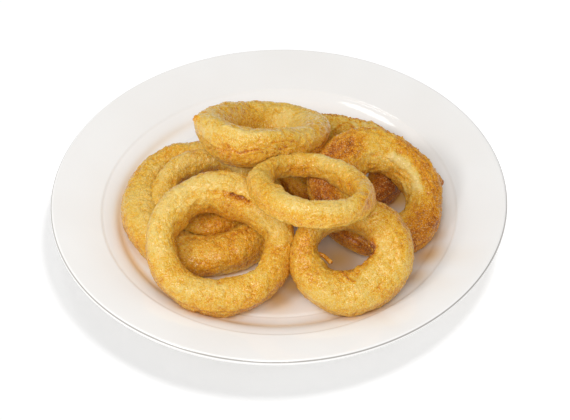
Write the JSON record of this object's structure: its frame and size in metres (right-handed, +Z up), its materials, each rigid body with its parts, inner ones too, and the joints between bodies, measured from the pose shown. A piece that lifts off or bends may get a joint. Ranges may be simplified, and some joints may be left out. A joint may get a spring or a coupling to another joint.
{
  "type": "plate of onion rings",
  "caption": "Side dish of deep-fried battered onion rings, heaped and leaning on one another on a round white plate with a wide rim.",
  "frame": {"origin": "centre of the plate's foot ring, on the table", "axes": "+Z up, +X to the right and +Y away from the diner"},
  "size_m": [0.24, 0.24, 0.0713],
  "materials": {
    "porcelain": "gloss",
    "batter": "satin"
  },
  "bodies": {
    "root": {"plate": "porcelain", "ring_left_outer": "batter", "ring_back_right": "batter", "ring_left_inner": "batter", "ring_front_left": "batter", "ring_right": "batter", "ring_front_right": "batter", "ring_front_top": "batter", "ring_top": "batter"}
  },
  "joints": []
}
